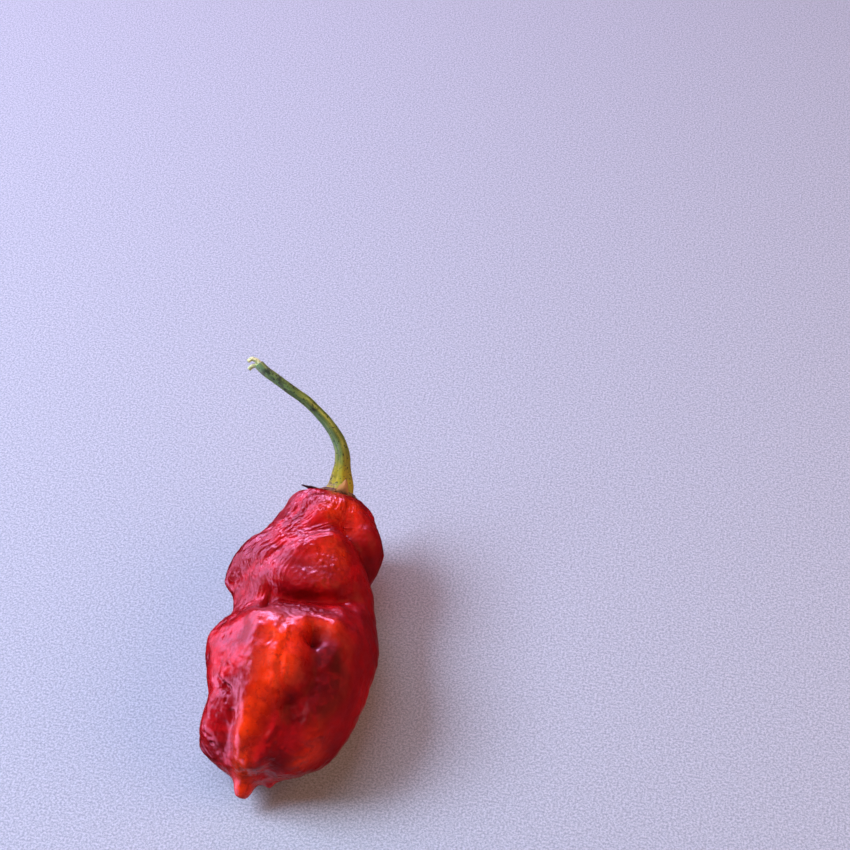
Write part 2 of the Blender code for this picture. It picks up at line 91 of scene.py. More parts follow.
# Raised lines on the skin, then sunken ones: a sharpness, then rows of how far from the crown, the angle
# round the axis from the right side over the top, the height in millimetres and the width.
RIDGES = (
    ("shoulder bump", 2.0, (
        (5.2, 92, 0.7, 2.8), (7.5, 84, 1.1, 2.8),
    )),
    ("right lobe", 2.0, (
        (6.5, 38, 0.7, 3.4), (9.5, 30, 1.1, 3.8), (12.5, 20, 1.2, 3.2),
    )),
    ("upper crest", 2.0, (
        (13.5, 60, 0.4, 2.2), (15.5, 72, 1.0, 2.4), (18, 86, 0.7, 2.4), (21, 92, 1.0, 2.8),
        (24.5, 106, 0.8, 2.6), (26.5, 113, 0.4, 2.4),
    )),
    ("brow", 2.0, (
        (24.5, 44, 0.4, 2.4), (25.5, 60, 0.9, 2.6), (26, 76, 1.2, 2.8), (26.5, 96, 1.0, 2.6),
        (27, 112, 0.6, 2.4),
    )),
    ("knuckle", 2.0, (
        (31.5, 58, 0.7, 1.4), (33.5, 55, 0.5, 1.4),
    )),
    ("lower crest", 2.0, (
        (39, 100, 0.4, 3.0), (39.5, 88, 0.6, 3.0), (38.2, 76, 0.7, 2.4), (37.6, 62, 0.8, 2.2),
        (38, 46, 0.4, 2.8),
    )),
    ("keel", 1.9, (
        (35, 113, 0.2, 2.6), (38, 110, 0.8, 2.9), (41, 107, 1.1, 2.8), (44, 107, 0.9, 2.8),
        (47, 101, 1.2, 2.9), (51, 96, 1.0, 2.7), (55, 91, 1.3, 2.4), (59, 89, 1.0, 1.9),
        (61.5, 88, 0.4, 1.5),
    )),
    ("tip rib", 2.0, (
        (54, 66, 0.3, 1.4), (57, 64, 0.8, 1.4), (60, 62, 0.5, 1.3),
    )),
    ("pit edge", 1.8, (
        (38, 56, 0.2, 1.6), (40.5, 54, 0.4, 1.8), (43, 51, 0.2, 1.8),
    )),
    ("right front bump", 2.0, (
        (49, 44, 0.3, 2.2), (51, 40, 0.9, 2.2), (54, 32, 0.5, 2.2),
    )),
    ("left front bump", 2.0, (
        (46, 122, 0.2, 1.8), (47.3, 122, 0.5, 1.8),
    )),
    ("left lobe", 2.0, (
        (38, 152, 0.4, 4.0), (43, 148, 0.8, 4.2), (46, 152, 0.3, 3.5),
    )),
    ("left toe", 2.0, (
        (53, 146, 0.4, 3.0), (56, 138, 0.8, 3.0),
    )),
    ("left corner", 2.0, (
        (21, 168, 0.4, 2.0), (23, 168, 1.0, 1.8),
    )),
    ("chin", 2.0, (
        (60.2, 328, 0.4, 1.5), (61.0, 341, 1.0, 1.2),
    )),
    ("under lobe", 2.0, (
        (12, 300, 0.5, 4.0), (20, 325, 1.0, 4.5), (30, 318, 0.4, 4.0),
    )),
    ("back lobe", 2.0, (
        (30, 210, 0.3, 4.0), (40, 214, 0.9, 4.5), (50, 226, 0.5, 4.0),
    )),
)
CREASES = (
    ("waist", 1.6, (
        (27, 20, 0.4, 2.8), (28, 40, 1.4, 3.0), (29.6, 56, 2.5, 2.9), (30.2, 76, 3.2, 3.0),
        (30.6, 96, 3.3, 3.0), (31.2, 109, 2.2, 2.8), (31.8, 120, 1.0, 3.0), (32.5, 146, 0.9, 3.2),
        (32.5, 180, 0.9, 2.8), (31, 214, 0.5, 3.0),
    )),
    ("upper valley", 1.8, (
        (9, 66, 0.5, 2.2), (12.5, 80, 1.1, 2.3), (16.5, 95, 1.1, 2.4), (20.5, 110, 0.8, 2.4),
    )),
    ("shoulder wrinkle", 1.6, (
        (5.5, 104, 0.2, 0.9), (9, 108, 0.5, 1.0), (13, 106, 0.4, 1.0), (16, 108, 0.2, 0.9),
    )),
    ("shoulder wrinkle", 1.6, (
        (6.5, 122, 0.2, 0.9), (11, 120, 0.5, 1.1), (16, 121, 0.5, 1.1), (21, 124, 0.2, 0.9),
    )),
    ("shoulder wrinkle", 1.6, (
        (10, 133, 0.2, 0.9), (15, 131, 0.5, 1.1), (20, 136, 0.4, 1.1), (24, 134, 0.2, 0.9),
    )),
    ("lobe valley", 1.5, (
        (5.5, 64, 0.5, 1.8), (8.5, 61, 1.5, 2.1), (11.5, 52, 2.0, 2.2), (13.8, 38, 2.2, 2.2),
        (15.5, 22, 2.2, 2.2), (17, 6, 1.9, 2.2), (19, 346, 0.9, 2.4),
    )),
    ("pit", 1.7, (
        (39.0, 71, 1.2, 1.3), (40.6, 68, 2.1, 1.7),
    )),
    ("pit valley", 1.7, (
        (41, 64, 1.0, 2.2), (43.5, 60, 1.9, 2.8), (46, 56, 1.7, 3.0), (49, 60, 1.8, 3.0),
        (50.5, 65, 2.0, 3.0), (51.5, 72, 0.8, 2.6),
    )),
    ("beside the keel", 1.8, (
        (42, 122, 0.3, 2.4), (47, 114, 0.5, 2.2), (53, 107, 0.9, 2.0), (58, 106, 0.8, 1.8),
        (61, 106, 0.2, 1.6),
    )),
    ("above the tip", 1.8, (
        (54, 56, 0.4, 2.2), (57, 50, 0.9, 2.2), (60.3, 46, 0.6, 1.8),
    )),
    ("left pit", 1.4, (
        (50, 158, 0.6, 1.8), (50.3, 138, 0.6, 1.5), (50.6, 121, 0.9, 1.5),
    )),
    ("left dent", 2.0, (
        (24, 146, 0.8, 2.8), (26.5, 150, 1.0, 2.6),
    )),
    ("left shoulder crease", 1.5, (
        (8, 150, 0.5, 1.8), (13, 140, 0.9, 1.9), (18, 134, 0.6, 1.9),
    )),
    ("right flank", 1.6, (
        (26, 350, 0.5, 2.4), (33, 340, 1.0, 2.8), (42, 346, 0.8, 2.8), (50, 352, 0.4, 2.4),
    )),
    ("far flank", 1.6, (
        (9, 190, 0.5, 2.2), (16, 196, 1.1, 2.6), (24, 192, 0.8, 2.6),
    )),
    ("far lower flank", 1.6, (
        (38, 186, 0.6, 2.4), (45, 192, 1.1, 2.6), (53, 196, 0.7, 2.2),
    )),
    ("right underside", 1.6, (
        (10, 328, 0.5, 2.4), (17, 336, 1.2, 2.8), (24, 330, 0.6, 2.4),
    )),
    ("left underside", 1.6, (
        (8, 232, 0.5, 2.4), (15, 226, 1.2, 2.8), (28, 230, 1.0, 2.8), (37, 228, 0.6, 2.6),
    )),
    ("low front", 1.6, (
        (50, 318, 0.5, 2.2), (55, 312, 0.9, 2.2), (59, 304, 0.5, 1.8),
    )),
)
# The brow hangs over the waist: it leans towards the tip, in the same rows.
OVERHANGS = (
    ("brow", 2.2, (
        (24.5, 46, 0.6, 2.5), (25.8, 62, 2.1, 2.7), (26.4, 80, 3.1, 2.7), (26.8, 98, 3.0, 2.7),
        (27.6, 109, 1.8, 2.3), (28, 118, 0.5, 2.0),
    )),
)

LUMPS = ((9.0, 0.6), (4.6, 0.34), (2.9, 0.2))
SMOOTH_CROWN = (4.6, 7.6)
PAD = (5.5, 11.0)

# The calyx: the stem's seat in it, its collar, then its teeth with their angle round the crown, half
# their width in degrees, their length and how far they turn up from the shoulder.
SEAT_HEIGHT = 0.6
SEAT_RADIUS = 2.9
COLLAR_RADIUS = 3.65
TOOTH_ROOT = 0.35
TEETH = (
    (172, 26, 3.4, 5),
    (66, 20, 3.0, 99),
    (10, 20, 0.5, -14),
    (116, 22, 0.6, -8),
    (248, 24, 1.5, 6),
    (316, 24, 0.7, -8),
)

# The stem's straight foot, its middle line from there, then its radius at distances along it.
FOOT_RISE = 1.3
STEM_LINE = (
    (0.8, 33.8, 21.3),
    (0.7, 34.9, 22.9),
    (0.4, 35.9, 24.5),
    (-0.4, 36.9, 26.0),
    (-1.5, 37.6, 27.6),
    (-2.8, 38.3, 29.1),
    (-4.2, 38.8, 30.4),
    (-5.8, 39.3, 31.7),
    (-7.5, 39.7, 33.0),
    (-9.3, 40.0, 34.1),
    (-11.2, 40.5, 35.1),
    (-13.2, 41.1, 36.0),
    (-15.3, 41.8, 36.9),
    (-16.6, 42.6, 37.5),
)
STEM_RADII = (
    (0.0, 2.6),
    (0.5, 2.6),
    (1.8, 2.35),
    (3.6, 1.9),
    (5.5, 1.52),
    (8.0, 1.32),
    (10.5, 1.2),
    (14.0, 1.04),
    (18.0, 0.96),
    (23.0, 0.92),
    (28.0, 0.88),
    (32.0, 0.9),
)
STEM_RIBS = 5
STEM_RIB = 0.06

# The two slivers where the stem tore, each a line from inside the stem, and their radii.
SLIVERS = (
    ((-15.8, 42.3, 37.2), (-16.9, 42.9, 37.9), (-18.0, 42.9, 38.4), (-18.7, 42.3, 38.2)),
    ((-15.8, 42.1, 37.0), (-16.9, 42.5, 37.3), (-17.9, 42.3, 37.1), (-18.5, 42.1, 36.5)),
)
SLIVER_RADII = ((0.0, 0.5), (1.6, 0.45), (4.0, 0.34))

# How finely each piece is made here.
SKIN_RINGS = 560
SKIN_COLUMNS = 480
CALYX_SIDES = 220
STALK_RINGS = 240
STALK_SIDES = 72

# Areas of the skin, each a row of lines: how far from the crown, the angle round the axis, the
# strength and the width. They are finely wrinkled lengthwise, pimply, pitted and orange, and the last
# two hold painted shade: crimson in the hollows, under the brow and down the shaded side, and nearly
# brown in the pit, trough and creases.
WRINKLED = (
    ((5, 118, 0.9, 5.0), (10, 118, 1.0, 6.0), (17, 118, 1.0, 6.5), (23, 120, 0.9, 5.0)),
    ((5, 80, 0.5, 3.0), (9, 84, 0.6, 3.0)),
    ((13, 82, 0.9, 2.6), (17, 92, 1.0, 2.8), (21, 104, 0.9, 3.0), (24, 112, 0.8, 3.5)),
    ((41, 88, 0.25, 3.0), (47, 84, 0.35, 3.0)),
    ((30, 124, 0.6, 4.0), (35, 134, 0.5, 4.0)),
    ((8, 200, 0.6, 9.0), (18, 205, 0.7, 9.0)),
    ((55, 60, 0.3, 3.0), (58, 60, 0.4, 3.0)),
)
PIMPLY = (
    ((35, 102, 0.9, 2.4), (35.5, 84, 1.0, 2.6), (35, 68, 0.9, 2.4)),
    ((52, 124, 0.3, 3.0), (56, 116, 0.5, 3.0), (58, 122, 0.4, 2.6)),
    ((25, 150, 0.8, 3.0), (30, 146, 0.7, 3.0)),
    ((46, 126, 0.2, 2.5), (50, 128, 0.3, 2.5)),
    ((53, 40, 0.7, 4.0), (58, 20, 0.7, 4.0)),
    ((54, 62, 0.7, 2.6), (57, 52, 0.9, 3.0)),
    ((47, 58, 0.5, 2.6), (51, 60, 0.6, 2.6)),
    ((17, 62, 0.6, 2.4), (21, 66, 0.8, 2.8), (25, 74, 1.0, 3.0), (25.5, 92, 0.8, 2.6)),
    ((9, 52, 0.4, 2.4), (16, 40, 0.4, 2.4)),
)
PITTED = (
    (
        (44, 132, 0.7, 4.0), (48, 128, 1.0, 4.0), (52, 126, 0.9, 4.0), (57, 120, 1.0, 4.0),
        (60, 124, 0.8, 3.0),
    ),
    ((24, 150, 0.8, 4.0), (34, 136, 0.8, 4.0)),
    ((55, 60, 0.6, 3.0), (58, 40, 0.6, 3.0)),
)
ORANGE = (
    ((40.5, 97, 0.9, 2.8), (42.5, 89, 1.0, 3.8), (46, 86, 1.0, 3.8), (49.3, 83, 0.8, 3.0)),
    ((39.5, 86, 0.9, 2.0), (38.8, 74, 0.8, 1.8), (38.4, 60, 0.8, 1.8), (40.5, 48, 0.6, 2.2)),
    (
        (50, 88, 0.8, 2.4), (53.2, 90, 0.9, 2.4), (56, 88, 0.9, 2.1), (60.4, 86, 1.0, 2.0),
        (63.5, 90, 1.0, 2.4),
    ),
    ((51.5, 40, 0.7, 2.0), (54, 24, 0.9, 2.4), (55.5, 30, 0.8, 2.0)),
    ((18.5, 70, 0.5, 2.4), (21.5, 74, 0.5, 2.4), (24.5, 72, 0.4, 2.0)),
    ((19.4, 58, 0.7, 1.6), (24, 60, 0.6, 1.6)),
    ((3.4, 76, 0.7, 2.0), (6, 78, 0.9, 2.4)),
    ((3.6, 54, 0.7, 2.2), (7.5, 48, 0.5, 2.4)),
)
# Painted shade: crimson painted in the hollows and creases, under the brow and down the pod's shaded right
# side.
PAINTED_SHADE = (
    ((8, 16, 0.4, 4.0), (14, 16, 0.8, 5.0), (18, 8, 0.9, 5.0)),
    ((29, 122, 0.7, 2.6), (31, 138, 0.8, 3.2), (30, 160, 0.6, 3.5)),
    ((23.5, 100, 0.6, 2.2), (25.5, 84, 0.8, 2.4), (24, 62, 0.7, 2.4)),
    ((9, 38, 0.6, 2.6), (12.5, 34, 0.8, 3.4)),
    ((37.4, 108, 0.6, 2.0), (37, 84, 0.6, 2.0), (35.4, 66, 0.7, 2.2), (34, 48, 0.8, 2.8)),
    ((31, 116, 0.7, 2.5), (35, 118, 0.6, 2.8)),
    ((27.5, 60, 0.7, 2.0), (28.5, 80, 0.9, 2.2), (29, 100, 0.9, 2.0)),
    ((28, 20, 0.8, 6.0), (36, 24, 0.9, 7.0), (44, 28, 1.0, 7.5), (50, 12, 0.9, 7.0)),
    ((42, 60, 0.8, 3.2), (47, 52, 1.0, 4.0), (50, 50, 0.9, 4.0), (56, 50, 0.8, 3.4)),
    ((6, 156, 0.6, 3.0), (11, 150, 0.5, 3.0)),
)
# Painted shade: nearly brown painted in the pit and the trough below it, in the crease under the brow,
# above the tip and in the lobe valley.
PAINTED_HOLLOW_SHADE = (
    ((39.4, 68, 1.0, 1.5), (40.8, 64, 1.2, 1.9)),
    ((41.5, 58, 1.1, 2.4), (43.5, 52, 1.3, 3.4), (46, 46, 1.3, 3.8), (48.5, 48, 1.2, 3.6)),
    ((49.5, 66, 1.0, 2.4), (51, 60, 1.3, 2.6), (50.5, 50, 0.9, 2.6)),
    ((33.5, 106, 0.5, 1.4), (34.5, 84, 0.6, 1.6), (34, 66, 0.5, 1.6)),
    ((55.4, 62, 0.5, 2.2), (56.5, 46, 0.5, 2.2)),
    ((30.2, 54, 0.7, 1.0), (30.6, 76, 0.9, 1.1), (31, 96, 0.9, 1.1), (32, 110, 0.7, 1.0)),
    ((12, 54, 0.5, 1.4), (15.2, 28, 0.7, 1.8), (17, 8, 0.7, 2.0)),
)
# Fine lines and spots on the skin, raised or sunken, in the same rows as the ridges.
FINE = (
    ("streak", 2.0, (
        (42.0, 87, 0.12, 0.6), (44.5, 90, 0.5, 0.8), (47, 86, 0.5, 0.8), (49.3, 82, 0.15, 0.6),
    )),
    ("streak", 2.0, ((41.0, 96, 0.08, 0.5), (42.6, 92, 0.4, 0.7), (44, 94, 0.08, 0.5))),
    ("streak", 2.0, ((44.5, 83, 0.08, 0.5), (46, 80, 0.35, 0.6), (48, 77, 0.08, 0.5))),
    ("streak", 2.0, ((52, 72, 0.1, 0.5), (53.5, 69, 0.4, 0.6), (55, 70, 0.1, 0.5))),
    ("streak", 2.0, ((57, 80, 0.1, 0.5), (58.5, 77, 0.45, 0.7), (60.5, 75, 0.1, 0.5))),
    ("streak", 2.0, ((49, 52, 0.1, 0.5), (50.5, 49, 0.4, 0.6), (52, 48, 0.1, 0.5))),
    ("fold end", 1.8, ((28.5, 115, -0.4, 0.9), (32, 113, -1.1, 1.0), (36.5, 109, -0.6, 0.9))),
    ("spot", 2.0, ((47.2, 124, -0.6, 0.7), (47.8, 121, -0.5, 0.6))),
    ("spot", 2.0, ((50.2, 127, -0.7, 0.7), (50.7, 122, -0.6, 0.6))),
    ("spot", 2.0, ((49, 134, -0.4, 0.5), (49.4, 132, -0.4, 0.5))),
    ("spot", 2.0, ((53.5, 112, -0.5, 0.6), (54.2, 109, -0.4, 0.6))),
    ("spot", 2.0, ((38.4, 60, 0.35, 0.8), (39.4, 57, 0.4, 0.8))),
)

# The skin's lengthwise wrinkles, coarse to fine: width, length, place in the noise and height. They run
# along the pod at this girth, and their middle height is taken off.
STREAKS = (
    (2.0, 5.0, 2.0, 0.40),
    (1.1, 2.7, 7.0, 0.48),
    (0.65, 1.4, 14.0, 0.26),
)
STREAK_GIRTH = 13.0
STREAK_MIDDLE = 0.25
# The wrinkles' turn towards the left on top of the pod: the angle round the axis where it is strongest,
# its spread in degrees and its size in radians.
SLANT_MIDDLE = 88
SLANT_SPREAD = 42
SLANT = 1.1
# Uneven swellings all over the skin: size, place in the noise and height.
SWELLINGS = (
    (1.9, 3.0, 0.13),
    (0.95, 6.0, 0.05),
)
# Pimples and pin pits: how far apart they are, and their radius.
PIMPLES = (1.15, 0.55)
PITS = (2.3, 0.55)
PIT_DEPTH = 0.30
# How much painted shade the pin pits get, nearly brown at full share.
PIT_PAINTED_SHADE = 0.5


def curve_span(four, samples=40):
    """The stretch of a centripetal Catmull-Rom curve between the middle two of four points."""
    knots = [0.0]
    for a, b in zip(four, four[1:]):
        knots.append(knots[-1] + max(np.linalg.norm(b - a), 1e-6) ** 0.5)
    t = np.linspace(knots[1], knots[2], samples, endpoint=False)[:, None]

    def blend(p, q, start, end):
        return ((end - t) * p + (t - start) * q) / (end - start)

    first = [blend(four[i], four[i + 1], knots[i], knots[i + 1]) for i in range(3)]
    second = [blend(first[i], first[i + 1], knots[i], knots[i + 2]) for i in range(2)]
    return blend(second[0], second[1], knots[1], knots[2])


def smooth_curve(points, count):
    """Rows evenly spaced along a smooth curve through the given rows, by their first three columns."""
    points = np.asarray(points, float)
    rows = np.vstack([2 * points[0] - points[1], points, 2 * points[-1] - points[-2]])
    spans = [curve_span(rows[k : k + 4]) for k in range(len(points) - 1)]
    dense = np.vstack([*spans, points[-1:]])
    steps = np.linalg.norm(np.diff(dense[:, :3], axis=0), axis=1)
    along = np.concatenate([[0.0], np.cumsum(steps)])
    wanted = np.linspace(0.0, along[-1], count)
    return np.column_stack([np.interp(wanted, along, column) for column in dense.T])


class Axis:
    """A smooth line in space that knows its direction, sideways and upwards at any distance along it."""

    def __init__(self, points):
        self.points = smooth_curve(points, 400)
        steps = np.linalg.norm(np.diff(self.points, axis=0), axis=1)
        self.along = np.concatenate([[0.0], np.cumsum(steps)])
        tangents = np.gradient(self.points, axis=0)
        self.tangents = tangents / np.linalg.norm(tangents, axis=1)[:, None]

    def frame(self, distance):
        """Centres, sideways, upwards and onwards at each distance. It runs straight on past an end."""
        inside = np.clip(distance, 0.0, self.along[-1])
        centre = np.column_stack([np.interp(inside, self.along, c) for c in self.points.T])
        onwards = np.column_stack([np.interp(inside, self.along, c) for c in self.tangents.T])
        onwards /= np.linalg.norm(onwards, axis=1)[:, None]
        centre += (distance - inside)[:, None] * onwards
        sideways = np.cross(np.array([0.0, 0.0, 1.0]), onwards)
        sideways /= np.linalg.norm(sideways, axis=1)[:, None]
        upwards = np.cross(onwards, sideways)
        return centre, sideways, upwards, onwards


class Pod:
    """The pod's smooth form, and the lines that are drawn on it."""

    def __init__(self):
        self.axis = Axis(POD_AXIS)
        self.rows = smooth_curve(POD_OUTLINE, 900)
        self.first = int(np.argmin(self.rows[:, 0]))

    def skin(self, rows, angle):
        """Points for each outline row by each angle, with the way onwards along the axis at each row."""
        centre, sideways, upwards, onwards = self.axis.frame(rows[:, 0])
        across, up = np.cos(angle)[None, :], np.sin(angle)[None, :]
        across = across * np.where(across > 0, rows[:, 2][:, None], rows[:, 1][:, None])
        up = up * np.where(up > 0, rows[:, 4][:, None], rows[:, 3][:, None])
        points = centre[:, None] + across[..., None] * sideways[:, None] + up[..., None] * upwards[:, None]
        return points, onwards

    def at(self, distance, degrees):
        """The point on the skin at a distance from the crown and an angle round the axis."""
        outer = self.rows[self.first :]
        row = [[np.interp(distance, outer[:, 0], column) for column in outer.T]]
        return self.skin(np.array(row), np.array([math.radians(degrees)]))[0][0, 0]

    def line(self, table):
        """A smooth line on the skin from table rows: x, y, z, height and width."""
        rows = [[*self.at(distance, degrees), height, width] for distance, degrees, height, width in table]
        return smooth_curve(rows, 8 * len(rows))


def smoothstep(low, high, value):
    t = np.clip((value - low) / (high - low), 0.0, 1.0)
    return t * t * (3 - 2 * t)


def grid_normals(points):
    """The outward direction at each point of a grid of rings that goes round."""
    across = np.roll(points, -1, axis=1) - np.roll(points, 1, axis=1)
    along = np.gradient(points, axis=0)
    normals = np.cross(across, along)
    normals[0] = normals[1].mean(axis=0)
    normals[-1] = normals[-2].mean(axis=0)
    return normals / np.linalg.norm(normals, axis=2)[..., None]


def line_effect(points, line, sharpness):
    """A line's height at each point: whole on the line, less away from it, and nothing far from it."""
    reach = 4.0 * line[:, 4].max()
    low, high = line[:, :3].min(axis=0) - reach, line[:, :3].max(axis=0) + reach
    inside = np.all((points > low) & (points < high), axis=1)
    near = points[inside]
    nearest = np.full(len(near), np.inf)
    values = np.ones((len(near), 2))
    for a, b in zip(line, line[1:]):
        step = b[:3] - a[:3]
        t = np.clip((near - a[:3]) @ step / (step @ step), 0.0, 1.0)
        away = np.linalg.norm(near - a[:3] - t[:, None] * step, axis=1)
        closer = away < nearest
        nearest = np.where(closer, away, nearest)
        values = np.where(closer[:, None], a[3:] + t[:, None] * (b[3:] - a[3:]), values)
    effect = np.zeros(len(points))
    effect[inside] = values[:, 0] * np.exp(-((nearest / values[:, 1]) ** sharpness))
    return effect


def table_effect(pod, points, table):
    total = np.zeros(len(points))
    for _, sharpness, rows in table:
        total += line_effect(points, pod.line(rows), sharpness)
    return total


def lumps(points):
    """Low uneven swellings, the same on every run."""
    total = np.zeros(len(points))
    for size, height in LUMPS:
        total += [height * noise.noise(Vector(p) / size + Vector((3.1, 7.7, 1.3))) for p in points]
    return total


def pod_points(pod, rings, columns):
    """The wrinkled skin as a grid of points, with its flat spot on the ground."""
    rows = smooth_curve(POD_OUTLINE, rings)
    angle = np.linspace(0.0, 2 * math.pi, columns, endpoint=False)
    grid, onwards = pod.skin(rows, angle)
    normals = grid_normals(grid).reshape(-1, 3)
    onwards = np.repeat(onwards, columns, axis=0)
    points = grid.reshape(-1, 3)
    crown = np.linalg.norm(points - crown_frame(pod)[0], axis=1)
    pad = np.hypot(points[:, 0] / PAD[0], points[:, 1] / PAD[1])
    free = smoothstep(*SMOOTH_CROWN, crown)
    free *= np.maximum(smoothstep(1.0, 1.9, pad), smoothstep(4.0, 9.0, points[:, 2]))
    height = table_effect(pod, points, RIDGES) - table_effect(pod, points, CREASES) + lumps(points)
    lean = table_effect(pod, points, OVERHANGS)
    points = points + (free * height)[:, None] * normals + (free * lean)[:, None] * onwards
    ground = np.where(pad < 1.15, 0.0, 0.2)
    points[:, 2] = np.maximum(points[:, 2], ground)
    return points.reshape(rings, columns, 3)


def tube_points(line, radii, rings, sides, ribs, rib):
    """Rings of points round a smooth line, with lengthwise ribs."""
    middle = smooth_curve(line, rings)
    steps = np.linalg.norm(np.diff(middle, axis=0), axis=1)
    along = np.concatenate([[0.0], np.cumsum(steps)])
    table = np.array(radii)
    size = np.interp(along, table[:, 0], table[:, 1])
    tangents = np.gradient(middle, axis=0)
    tangents /= np.linalg.norm(tangents, axis=1)[:, None]
    side = np.cross(tangents[0], np.array([0.0, 0.0, 1.0]))
    angle = np.linspace(0.0, 2 * math.pi, sides, endpoint=False)
    rings_out = []
    for centre, forward, radius in zip(middle, tangents, size):
        side = side - (side @ forward) * forward
        side /= np.linalg.norm(side)
        other = np.cross(forward, side)
        reach = radius * (1 + rib * np.cos(ribs * angle))
        around = np.cos(angle)[:, None] * side + np.sin(angle)[:, None] * other
        rings_out.append(centre + reach[:, None] * around)
    return np.array(rings_out), middle


def crown_frame(pod):
    """The crown's middle, and its sideways, upwards and outward directions."""
    centre, sideways, upwards, onwards = pod.axis.frame(np.array([CROWN]))
    return centre[0], sideways[0], upwards[0], -onwards[0]


def tooth_shape(degrees):
    """How long the calyx is past its collar at an angle round the crown, and how far it turns up."""
    length, turn = TOOTH_ROOT, 12.0
    for middle, half, reach, lift in TEETH:
        off = abs((degrees - middle + 180) % 360 - 180) / half
        if off < 1:
            length = TOOTH_ROOT + (reach - TOOTH_ROOT) * (1 - off) ** 0.8
            turn = lift
    return length, turn


def area(pod, points, lines):
    """How much each point lies in the areas round some lines on the skin, from 0 to 1."""
    total = np.zeros(len(points))
    for rows in lines:
        total = np.maximum(total, line_effect(points, pod.line(rows), 2.0))
    return np.clip(total, 0.0, 1.0)


def field(places, shift=0.0):
    """Blender's smooth noise at each place."""
    offset = Vector((shift, 2.7 * shift, 5.3 - shift))
    return np.array([noise.noise(Vector(place) + offset) for place in places])


def pimples(points, spacing, radius):
    """Small round bumps scattered over the skin, from 0 to 1."""
    away = np.array([noise.voronoi(Vector(point) / spacing)[0][0] for point in points])
    return np.clip(1.0 - (away * spacing / radius) ** 2, 0.0, 1.0)


def skin_points(pod):
    """The pod's skin in full detail, and how much each point lies in each of the painted areas."""
    grid = pod_points(pod, SKIN_RINGS, SKIN_COLUMNS)
    normals = grid_normals(grid).reshape(-1, 3)
    smooth_rows = smooth_curve(POD_OUTLINE, SKIN_RINGS)
    angle = np.linspace(0.0, 2 * math.pi, SKIN_COLUMNS, endpoint=False)
    smooth = pod.skin(smooth_rows, angle)[0].reshape(-1, 3)
    points = grid.reshape(-1, 3)

    wrinkled = area(pod, smooth, WRINKLED)
    pimply = area(pod, smooth, PIMPLY)
    pitted = area(pod, smooth, PITTED)
    orange = area(pod, smooth, ORANGE)
    painted_shade = area(pod, smooth, PAINTED_SHADE)
    hollow_shade = area(pod, smooth, PAINTED_HOLLOW_SHADE)

    distance = np.repeat(smooth_rows[:, 0], SKIN_COLUMNS)
    turn = np.tile(angle, SKIN_RINGS)
    bend = field(points / 7.0, 1.0)
    bend_more = field(points / 3.2, 4.0)
    slant = np.exp(-(((np.degrees(turn) - SLANT_MIDDLE) / SLANT_SPREAD) ** 2))
    slant *= smoothstep(8.0, 28.0, distance)
    round_the_pod = turn - SLANT * slant + 0.16 * bend + 0.05 * bend_more
    lengthwise = distance + 2.0 * bend
    across = np.column_stack([np.cos(round_the_pod), np.sin(round_the_pod)]) * STREAK_GIRTH

    relief = np.zeros(len(points))
    for width, length, shift, height in STREAKS:
        places = np.column_stack([across / width, lengthwise / length])
        relief += height * (np.abs(field(places, shift)) - STREAK_MIDDLE)
    relief *= 0.10 + 0.90 * wrinkled
    for size, shift, height in SWELLINGS:
        relief += height * field(points / size, shift)
    relief += (0.02 + 0.11 * pimply) * pimples(points + 0.3 * bend_more[:, None], *PIMPLES)
    relief += pimply * 0.13 * field(points / 0.75, 9.0)
    pits = pimples(points + 0.5 * bend_more[:, None] + 7.0, *PITS)
    relief -= PIT_DEPTH * pitted * pits
    relief += table_effect(pod, smooth, FINE)

    crown = np.linalg.norm(points - crown_frame(pod)[0], axis=1)
    free = smoothstep(3.6, 5.4, crown)
    low = np.hypot(points[:, 0] / PAD[0], points[:, 1] / PAD[1])
    free *= np.maximum(smoothstep(1.15, 1.5, low), smoothstep(3.0, 6.0, points[:, 2]))
    tip = np.linalg.norm(points - pod.axis.points[-1], axis=1)
    free *= 0.35 + 0.65 * smoothstep(2.0, 7.0, tip)
    points = points + (free * relief)[:, None] * normals
    ground_level = np.where(low < 1.15, 0.0, 0.1)
    points[:, 2] = np.maximum(points[:, 2], ground_level)
    # The pin pits get painted shade too, nearly brown by this share.
    hollow_shade = np.maximum(hollow_shade, PIT_PAINTED_SHADE * pitted * pits)
    paint = np.column_stack([orange, painted_shade, hollow_shade, wrinkled, pimply])
    return points.reshape(SKIN_RINGS, SKIN_COLUMNS, 3), paint.reshape(SKIN_RINGS, SKIN_COLUMNS, 5)


def solid(name, vertices, faces, material):
    """A smooth object made of one closed mesh, riding on the frame."""
    mesh = bpy.data.meshes.new(name)
    mesh.from_pydata([tuple(MM * v) for v in np.asarray(vertices)], [], faces)
    obj = bpy.data.objects.new(name, mesh)
    bpy.context.scene.collection.objects.link(obj)
    tidy = bmesh.new()
    tidy.from_mesh(mesh)
    bmesh.ops.recalc_face_normals(tidy, faces=tidy.faces)
    tidy.to_mesh(mesh)
    tidy.free()
    mesh.shade_smooth()
    mesh.materials.append(material)
    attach(obj, "root")
    return obj


def ring_faces(rings, sides, start):
    """Faces between neighbouring rings of points numbered on from start."""
    faces = []
    for i in range(rings - 1):
        for j in range(sides):
            k = (j + 1) % sides
            a, b = start + i * sides, start + (i + 1) * sides
            faces.append((a + j, a + k, b + k, b + j))
    return faces


def capped(rings, first=None, last=None):
    """Points and faces of rings closed by a point at each end."""
    count, sides = rings.shape[:2]
    first = rings[0].mean(axis=0) if first is None else first
    last = rings[-1].mean(axis=0) if last is None else last
    points = np.vstack([first, rings.reshape(-1, 3), last])
    faces = ring_faces(count, sides, 1)
    end = len(points) - 1
    for j in range(sides):
        k = (j + 1) % sides
        faces.append((0, 1 + k, 1 + j))
        faces.append((end, end - sides + j, end - sides + k))
    return points, faces


